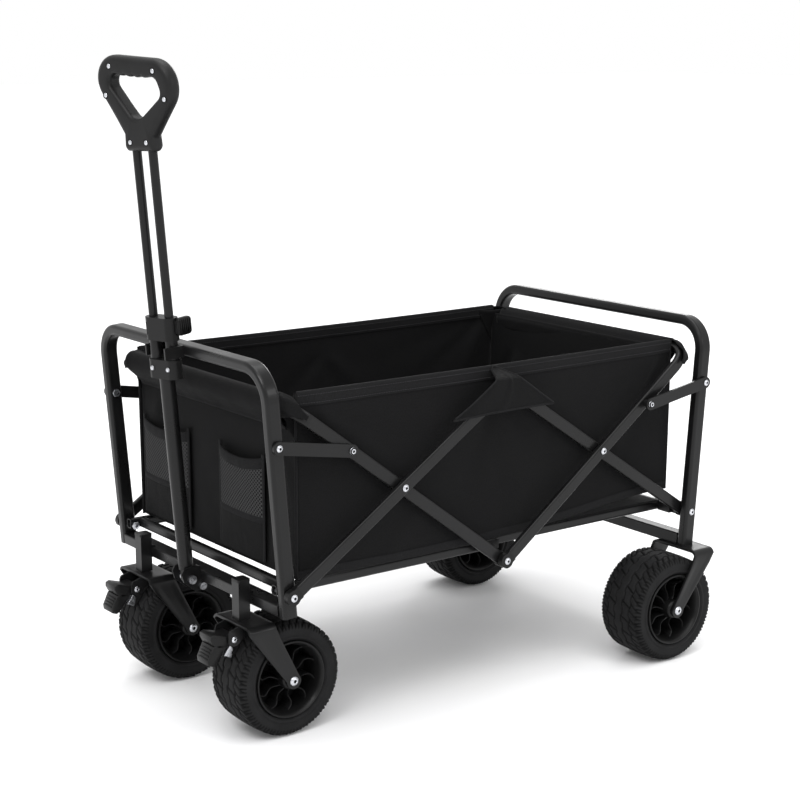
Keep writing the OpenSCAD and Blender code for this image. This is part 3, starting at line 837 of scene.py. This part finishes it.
def grip_mesh():
    n, m = 200, 28
    outer, inner = [], []
    for i in range(n):
        a = 2 * pi * i / n
        outer.append(max(ray(grip_hull, CENTRE, a), ray(neck, CENTRE, a)))
        r = ray(window, CENTRE, a)
        x, z = CENTRE[0] + r * cos(a), CENTRE[1] + r * sin(a)
        if z > 104 and abs(x) < 34:
            r -= 2.6 * abs(sin(pi * (x + 34) / 17)) ** 0.8
        inner.append(r)
    for _ in range(3):
        outer = [outer[i] if abs(i / n - 0.75) < 0.07 else
                 (outer[i - 1] + 2 * outer[i] + outer[(i + 1) % n]) / 4 for i in range(n)]
    verts = []
    for i in range(n):
        a = 2 * pi * i / n
        half = (outer[i] - inner[i]) / 2
        mid = (outer[i] + inner[i]) / 2
        for w, d in limb_section(half):
            verts.append(on_handle(-d, -(mid + w) * cos(a), GRIP_Z + CENTRE[1] + (mid + w) * sin(a)))
    return mesh_object("grip_moulding", verts, grid_faces(n, m, wrap_u=True, wrap_v=True), GRIP_PLASTIC)


grip = grip_mesh()
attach(grip, "handle_grip")
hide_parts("grip")
screw_parts = []
for u, v in ((-47, 127), (45, 119), (-60, 84), (64, 78), (-17, 14), (17, 14)):
    face = on_handle(-12.2, -u, GRIP_Z + v)
    direction = (on_handle(-20, -u, GRIP_Z + v) - face).normalized()
    m = facing(face, direction)
    # a near-black ring round each screw head: painted shade standing for the screw's recess
    ring = [(0.0001, 0.0004), (0.0042, 0.0004), (0.0046, 0.0009), (0.0052, 0.0009), (0.0056, 0.0003)]
    screw_parts.append((*lathe(ring, 28, m), 1))
    head = [(0.0001, 0.0016), (0.0018, 0.0015), (0.0032, 0.0010), (0.0036, 0.0005)]
    screw_parts.append((*lathe(head, 24, m), 0))
screws = merged("grip_screw_heads", screw_parts, [ZINC, RECESS_SHADE])
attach(screws, "handle_grip")
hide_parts("grip_screws")

# ---- basket
x_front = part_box("basket_front_wall")[0][0]
x_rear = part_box("basket_rear_wall")[1][0]
Y_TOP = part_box("basket_side_walls")[1][1] - 0.0005
Z_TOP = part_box("basket_side_walls")[1][2]
Z_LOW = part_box("basket_floor")[0][2]
LENGTH = x_rear - x_front
HEIGHT = Z_TOP - Z_LOW
hood_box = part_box("tube_hoods")
TUBE = Vector(((hood_box[0][0] + 0.0145), 0, (hood_box[0][2] + hood_box[1][2]) / 2))


def n3(x, y, z):
    return noise.noise(Vector((x, y, z)))


def smooth(t):
    t = max(0.0, min(1.0, t))
    return t * t * (3 - 2 * t)


def crease(x, z, x0, z0, angle, width, length, height):
    """a soft fold of cloth from (x0, z0), running off at the angle"""
    dx, dz = x - x0, z - z0
    c, s = cos(angle), sin(angle)
    along, across = dx * c + dz * s, -dx * s + dz * c
    if along < 0:
        return 0.0
    fade = exp(-(along / length) ** 2) * smooth(along / 0.03)
    spread = width * (1 + 2.0 * along / length)
    return height * exp(-(across / spread) ** 2) * fade


def side_bottom(x):
    """lower hem of the side walls, higher towards the rear"""
    t = (x - x_front) / LENGTH
    return Z_LOW + 0.001 + 0.024 * smooth((t - 0.42) / 0.58) + 0.0012 * sin(14 * t + 1)


def side_place(sgn, u, v):
    x = x_front + 0.0015 + (LENGTH - 0.003) * u
    zb = side_bottom(x)
    z = zb + (Z_TOP - zb) * v
    y = Y_TOP + 0.0012 - 0.0024 * (1 - v) ** 1.6
    inset = smooth(u / 0.06) * smooth((1 - u) / 0.06)
    w = 0.0016 * n3(x * 9, 3.1 * sgn, z * 7) + 0.0010 * n3(x * 24, 9.7 * sgn, z * 18)
    w += 0.0032 * n3(x * 3.2 + 4, 1.7 * sgn, z * 2.2) * (1 - v ** 2)
    for a, h in ((radians(-35), 0.0034), (radians(-62), -0.0026), (radians(-12), 0.0022)):
        w += crease(x, z, x_front + 0.02, Z_TOP - 0.02, a, 0.008, 0.24, h)
        w += crease(x, z, x_rear - 0.02, Z_TOP - 0.02, pi - a, 0.009, 0.26, h)
    for a, h in ((radians(-70), 0.0024), (radians(-110), -0.0026), (radians(-140), 0.0028),
                 (radians(-40), -0.0022)):
        w += crease(x, z, MID - 0.01, Z_TOP - 0.05, a, 0.010, 0.22, h)
    w += crease(x, z, MID + 0.02, zb, radians(68), 0.010, 0.16, 0.0018)
    w += crease(x, z, x_front + 0.16, zb, radians(48), 0.011, 0.20, 0.0020)
    sag = -0.0012 * sin(pi * u) * v
    y += (w + 0.0024) * inset * (1 - 0.85 * smooth((v - 0.9) / 0.1)) + sag
    z += -0.0018 * sin(pi * u) * smooth((v - 0.5) / 0.5)
    return Vector((x, sgn * max(Y_TOP - 0.0018, min(y, Y_TOP + 0.0078)), z))


def rides_basket(ob):
    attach(ob, "basket")
    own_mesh(ob)


def stitch_row(points, out, pitch):
    """short raised stitches along a line of points, out is the surface's normal"""
    parts = []
    for p, q in zip(points, points[1:]):
        d = q - p
        steps = max(1, int(d.length / pitch))
        d = d.normalized()
        side = d.cross(out).normalized() * 0.00045
        for k in range(steps):
            c = p + (q - p) * ((k + 0.5) / steps)
            h = d * pitch * 0.32
            v = [c - h - side, c + h - side, c + h + side, c - h + side]
            v += [w + out * 0.0006 for w in (c - h * 0.7 - side * 0.6, c + h * 0.7 - side * 0.6,
                                                   c + h * 0.7 + side * 0.6, c - h * 0.7 + side * 0.6)]
            f = [(4, 5, 6, 7), (0, 1, 5, 4), (1, 2, 6, 5), (2, 3, 7, 6), (3, 0, 4, 7)]
            parts.append((v, f, 0))
    return parts


for sgn, tag in ((-1, "left"), (1, "right")):
    wall = sheet_mesh("side_cloth_" + tag, 150, 60, lambda u, v: side_place(sgn, u, v),
                      (LENGTH, HEIGHT), CLOTH, thick=0.0018)
    n = 130
    verts, uvs = [], []
    for i in range(n):
        u = i / (n - 1)
        top = side_place(sgn, u, 1.0)
        low = side_place(sgn, u, 1 - 0.021 / HEIGHT)
        ripple = 0.0004 * sin(i * 1.9) + 0.0005 * n3(i * 0.35, 5 * sgn, 0)
        ring = [(-0.0021, -0.021), (-0.0024, -0.010), (-0.0022, -0.001), (-0.0010, 0.0012), (0.0010, 0.0012),
                (0.0022, -0.001), (0.0026, -0.010), (0.0022, -0.021)]
        for dy, dz in ring:
            base = top.y + (low.y - top.y) * (-dz / 0.021)
            verts.append(Vector((top.x, base + sgn * (dy + math.copysign(ripple, dy)), top.z + dz)))
            uvs.append((u * LENGTH, dz + (0.05 if dy > 0 else 0)))
    hem = mesh_object("rim_binding_" + tag, verts, grid_faces(n, 8), BINDING, uvs=uvs)
    rows = []
    for drop in (0.0055, 0.0175):
        for face in (-1, 1):
            pts = []
            for i in range(0, n, 3):
                u = i / (n - 1)
                p = side_place(sgn, u, 1 - drop / HEIGHT)
                pts.append(Vector((p.x, p.y + face * 0.0031, p.z)))
            rows += stitch_row(pts, Vector((0, face, 0)), 0.0044)
    pts = [side_place(sgn, i / 50, 0.03) + Vector((0, sgn * 0.0011, 0)) for i in range(51)]
    rows += stitch_row(pts, Vector((0, sgn, 0)), 0.0044)
    thread = merged("rim_stitching_" + tag, rows, [THREAD], smooth=False)
    verts, uvs = [], []
    for i in range(n):
        u = i / (n - 1)
        p = side_place(sgn, u, 0.0)
        for dy, dz in ((-0.0018, 0.013), (-0.0019, 0.001), (0, -0.0012), (0.0019, 0.001), (0.0018, 0.013)):
            q = side_place(sgn, u, max(0.0, dz) / HEIGHT)
            verts.append(Vector((p.x, q.y + sgn * dy, p.z + dz + 0.0012)))
            uvs.append((u * LENGTH, dz))
    low_hem = mesh_object("lower_binding_" + tag, verts, grid_faces(n, 5), BINDING, uvs=uvs)
    for ob in (wall, hem, thread, low_hem):
        rides_basket(ob)
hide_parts("basket_side_walls")


def end_place(end, y, v):
    """end wall: hangs from the tube, drawn in towards its lower edge; end is -1 front, 1 rear"""
    zb = Z_LOW + (0.002 if end < 0 else 0.024)
    top = TUBE.z + 0.004
    z = zb + (top - zb) * v
    half = Y_TOP - 0.002 - 0.001 * (1 - v) ** 1.5
    yy = y * half
    depth = 0.0012 * n3(yy * 7, z * 6, 2.3 * end) + 0.0028 * n3(yy * 2.6, z * 2.2, 7.1 * end)
    for a, h, w in ((radians(-60), 0.0052, 0.011), (radians(-120), -0.0034, 0.011)):
        depth += crease(yy, z, -0.18, top - 0.06, a, w, 0.22, h)
        depth += crease(-yy, z, -0.17, top - 0.06, a, w, 0.20, h)
    depth += crease(yy, z, -0.02, zb, radians(75), 0.014, 0.14, 0.003)
    edge = smooth((1 - abs(y)) / 0.12)
    base = x_front + 0.0016 if end < 0 else x_rear - 0.0016
    inward = 0.004 * sin(pi * v) if end > 0 else 0.002 * sin(pi * v)
    return Vector((base - end * (inward + 0.001) - end * depth * edge * 0.9, yy, z))


for end, tag in ((-1, "front"), (1, "rear")):
    w_flat = 2 * (Y_TOP - 0.003)
    h_flat = TUBE.z + 0.004 - Z_LOW - 0.002
    wall = sheet_mesh("end_cloth_" + tag, 100, 64, lambda u, v: end_place(end, 2 * u - 1, v),
                      (w_flat, h_flat), CLOTH, thick=0.0018)
    # loop of cloth round the cross tube, sewn to the wall below it
    u_bar = "front_u_bar" if end < 0 else "rear_u_bar"
    cx = TUBE.x if end < 0 else 2 * MID - TUBE.x
    wall_x = x_front if end < 0 else x_rear
    verts, uvs = [], []
    nu, seam_z = 90, Z_LOW + 0.232
    for i in range(nu):
        u = 2 * i / (nu - 1) - 1
        y = u * (Y_TOP - 0.016)
        path = []
        for k in range(9):
            t = k / 8
            zz = seam_z + (TUBE.z - 0.004 - seam_z) * t
            out = 0.0030 + (abs(cx - wall_x) + 0.0138 - 0.0030) * smooth(t) ** 0.9
            path.append((wall_x + end * out, zz))
        for k in range(1, 12):
            a = pi * k / 12
            path.append((cx + end * 0.0142 * cos(a), TUBE.z + 0.0142 * sin(a)))
        for k in range(5):
            t = k / 4
            path.append((wall_x - end * (0.0008 + 0.0016 * (1 - t)), TUBE.z - 0.002 - 0.022 * t))
        for k, (px, pz) in enumerate(path):
            w = 0.0010 * n3(y * 14, k * 0.35, 3 * end) + 0.0006 * n3(y * 46, k * 0.5, 5)
            w *= 0.2 if 8 < k < 20 else 1.0
            verts.append(Vector((px + end * w, y, pz + (0.0004 * sin(y * 90) if k < 9 else 0))))
            uvs.append((y, k * 0.006))
    hood = mesh_object("tube_loop_" + tag, verts, grid_faces(nu, 25), CLOTH, uvs=uvs)
    thicken(hood, 0.0016, end)
    # double seam under the loop, and piping down both corners
    rows = []
    for dz in (0.0025, 0.0095):
        pts = [Vector((wall_x + end * 0.0058, y * 0.001, seam_z + dz)) for y in range(-222, 223, 12)]
        rows += stitch_row(pts, Vector((end, 0, 0)), 0.0044)
    seam = merged("end_stitching_" + tag, rows, [THREAD], smooth=False)
    verts = []
    for i in range(90):
        y = (2 * i / 89 - 1) * (Y_TOP - 0.0155)
        out = wall_x + end * (0.0016 + 0.0004 * n3(y * 30, 4, end))
        for dx, dz in ((0, -0.002), (0.0030, -0.0005), (0.0040, 0.005), (0.0038, 0.011), (0.0024, 0.0135),
                       (0, 0.0135)):
            verts.append(Vector((out + end * dx, y, seam_z + dz)))
    felled = mesh_object("felled_seam_" + tag, verts, grid_faces(90, 6), BINDING)
    parts = []
    for sgn in (-1, 1):
        verts = []
        for i in range(40):
            v = i / 39
            p = side_place(sgn, 0.0 if end < 0 else 1.0, v)
            for k in range(8):
                a = 2 * pi * k / 8
                verts.append(Vector((p.x + end * 0.0012 + 0.0024 * cos(a), p.y + 0.0024 * sin(a), p.z)))
        parts.append((verts, grid_faces(40, 8, wrap_v=True), 0))
    piping = merged("corner_piping_" + tag, parts, [BINDING])
    # the wall, its seams and piping, and the tube loop all ride the basket
    for ob in (wall, seam, felled, piping):
        rides_basket(ob)
    rides_basket(hood)
    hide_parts("basket_front_wall" if end < 0 else "basket_rear_wall")
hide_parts("tube_hoods")

# corner gussets between the rim and the cross tube's loop
for end, tag in ((-1, "front"), (1, "rear")):
    wall_x = x_front if end < 0 else x_rear
    cx = TUBE.x if end < 0 else 2 * MID - TUBE.x
    u_bar = "front_u_bar" if end < 0 else "rear_u_bar"
    bend_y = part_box(u_bar)[1][1] - 0.045
    for sgn, side in ((-1, "left"), (1, "right")):
        def gusset(u, v):
            a = Vector((wall_x - end * 0.040, sgn * (Y_TOP + 0.0012), Z_TOP - 0.004))
            b = Vector((cx + end * 0.008, sgn * 0.219, TUBE.z + 0.0142))
            c = Vector((wall_x - end * 0.001, sgn * (Y_TOP - 0.002), TUBE.z - 0.055))
            top = a.lerp(b, u)
            p = top.lerp(c, v)
            p.z -= 0.004 * sin(pi * u) * (1 - v)
            p.y += sgn * 0.003 * sin(pi * u) * sin(pi * v)
            return p
        ob = sheet_mesh("corner_gusset_%s_%s" % (tag, side), 18, 14, gusset, (0.07, 0.06), CLOTH)
        rides_basket(ob)

        def over_bend(u, v):
            a = -0.35 + 1.72 * u
            w = 0.0175 * (1 - 0.8 * smooth((u - 0.5) / 0.5))
            t = w * (1 - 2 * v)
            r = 0.0492 + 0.003 * u - 0.007 * smooth((abs(t) - 0.009) / 0.008)
            s = U_LEN - 0.045 + r * cos(a)
            x = LOW.x + U_DIR.x * s + U_DIR.z * t
            z = LOW.z + U_DIR.z * s - U_DIR.x * t
            return Vector((x if end < 0 else 2 * MID - x, sgn * (bend_y + r * sin(a)), z))
        ob = sheet_mesh("bend_flap_%s_%s" % (tag, side), 24, 14, over_bend, (0.088, 0.035), CLOTH)
        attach(ob, "front_u" if end < 0 else "rear_u")


# floor cloth: each half lies on its half of the floor frame
for end, tag in ((-1, "front"), (1, "rear")):
    xa = x_front + 0.003 if end < 0 else MID + 0.001
    xb = MID - 0.001 if end < 0 else x_rear - 0.003
    half_y = 0.2285

    def floor_place(u, v):
        x, y = xa + (xb - xa) * u, (2 * v - 1) * half_y
        w = 0.0014 * n3(x * 5, y * 5, 11 + end) + 0.0006 * n3(x * 17, y * 17, 3)
        return Vector((x, y, Z_LOW + 0.0022 + abs(w)))
    ob = sheet_mesh("floor_cloth_" + tag, 50, 60, floor_place, (xb - xa, 2 * half_y), CLOTH, thick=0.0018)
    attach(ob, "floor_" + tag)
    if end < 0:
        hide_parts("basket_floor")

# pockets: solid cloth below, net above, a thick sagging top hem
POCKET_Z0, POCKET_NET, POCKET_Z1 = Z_LOW + 0.010, Z_LOW + 0.075, Z_LOW + 0.174
for (ya, yb), tag in (((-0.150, -0.024), "left"), ((0.076, 0.222), "right")):
    width = yb - ya

    def pocket_at(u, z):
        t = (z - POCKET_Z0) / (POCKET_Z1 - POCKET_Z0)
        bulge = 0.0095 * sin(pi * min(1, max(0, u))) ** 0.6 * (0.35 + 0.65 * t)
        w = 0.0008 * n3(u * 4, t * 5, ya * 40) + 0.0004 * n3(u * 14, t * 12, ya * 10)
        return Vector((x_front - 0.0012 - bulge - w * sin(pi * u),
                       ya + width * u, z - 0.009 * sin(pi * u) ** 0.7 * smooth((t - 0.55) / 0.45)))
    solid = sheet_mesh("pocket_cloth_" + tag, 40, 24,
                       lambda u, v: pocket_at(u, POCKET_Z0 + (POCKET_NET - POCKET_Z0) * v),
                       (width, POCKET_NET - POCKET_Z0), CLOTH, thick=0.0014)
    mesh_part = sheet_mesh("pocket_net_" + tag, 40, 30,
                           lambda u, v: pocket_at(u, POCKET_NET + (POCKET_Z1 - POCKET_NET) * v),
                           (width, POCKET_Z1 - POCKET_NET), NET, thick=0.0008)
    parts = []
    for z_mid, half_h, off in ((POCKET_Z1 - 0.007, 0.0085, 0.0014), (POCKET_NET, 0.0050, 0.0012)):
        verts = []
        for i in range(41):
            u = i / 40
            for dx, dz in ((0.4, -1), (1, -0.85), (1.15, 0), (1, 0.85), (0.4, 1), (-0.4, 1), (-0.6, 0),
                           (-0.4, -1)):
                p = pocket_at(u, z_mid)
                verts.append(Vector((p.x - off * dx, p.y, p.z + half_h * dz)))
        parts.append((verts, grid_faces(41, 8, wrap_v=True), 0))
    for u in (0.0, 1.0):
        verts = []
        for i in range(25):
            p = pocket_at(u, POCKET_Z0 + (POCKET_Z1 + 0.006 - POCKET_Z0) * i / 24)
            for k in range(8):
                a = 2 * pi * k / 8
                verts.append(Vector((p.x + 0.0016 * cos(a), p.y + 0.004 * sin(a), p.z)))
        parts.append((verts, grid_faces(25, 8, wrap_v=True), 0))
    hem = merged("pocket_binding_" + tag, parts, [BINDING])
    for ob in (solid, mesh_part, hem):
        rides_basket(ob)
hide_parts("front_pockets")

# pointed flaps over the top pivots
flap_z0, flap_z1 = Z_LOW + 0.2185, Z_LOW + 0.287
FLAP_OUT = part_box("apex_flaps")[1][1] - 0.0012
for sgn, tag in ((-1, "left"), (1, "right")):
    def flap_edge(v):
        lo = -0.119 + (-0.012 + 0.119) * v ** 0.86
        hi = 0.088 + (-0.006 - 0.088) * v
        return lo, hi

    def flap_place(u, v):
        lo, hi = flap_edge(v)
        x = lo + (hi - lo) * u
        z = flap_z0 + (flap_z1 - flap_z0) * v + 0.0025 * sin(pi * u) * (1 - v)
        z += 0.0035 * u * (1 - v)
        rise = smooth((z - (APEX.z + 0.010)) / 0.016)
        y = FLAP_OUT - (FLAP_OUT - Y_TOP - 0.003) * rise
        y -= 0.0020 * (1 - smooth(min(u, 1 - u) / 0.2)) * (1 - v)
        y += (0.0016 * n3(x * 22, z * 20, 3 * sgn) * (1 - v)
              + 0.0012 * exp(-((u - 0.45 - 0.2 * v) / 0.05) ** 2))
        return Vector((MID + x, sgn * y, z))
    ob = sheet_mesh("apex_flap_" + tag, 60, 40, flap_place, (0.2, 0.07), CLOTH)
    loop = [(i / 30, 0.0) for i in range(31)] + [(1.0, i / 20) for i in range(1, 21)]
    loop += [(1 - i / 6, 1.0) for i in range(1, 7)] + [(0.0, 1 - i / 20) for i in range(1, 20)]
    verts = []
    for u, v in loop:
        p = flap_place(u, v)
        for k in range(6):
            a = 2 * pi * k / 6
            verts.append(p + Vector((0.0006 * cos(a), 0.0018 * sin(a), 0.0022 * cos(a))))
    cord_faces = grid_faces(len(loop), 6, wrap_u=True, wrap_v=True)
    edge = merged("apex_flap_edge_" + tag, [(verts, cord_faces, 0)], [BINDING])
    for piece in (ob, edge):
        rides_basket(piece)
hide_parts("apex_flaps")

# ---- floor
floor_mat, nt, b = material("studio_floor", (0.86, 0.86, 0.87), 0.9)
coord = object_coord(nt)
tint(nt, b, mapped(nt, noise_tex(nt, coord, 3, 3), 0, 1), (0.85, 0.85, 0.86), (0.88, 0.88, 0.88))
corners = [(-30, -30, -0.0005), (30, -30, -0.0005), (30, 30, -0.0005), (-30, 30, -0.0005)]
floor = mesh_object("studio_floor", corners, [(0, 1, 2, 3)], floor_mat)

bpy.context.view_layer.update()
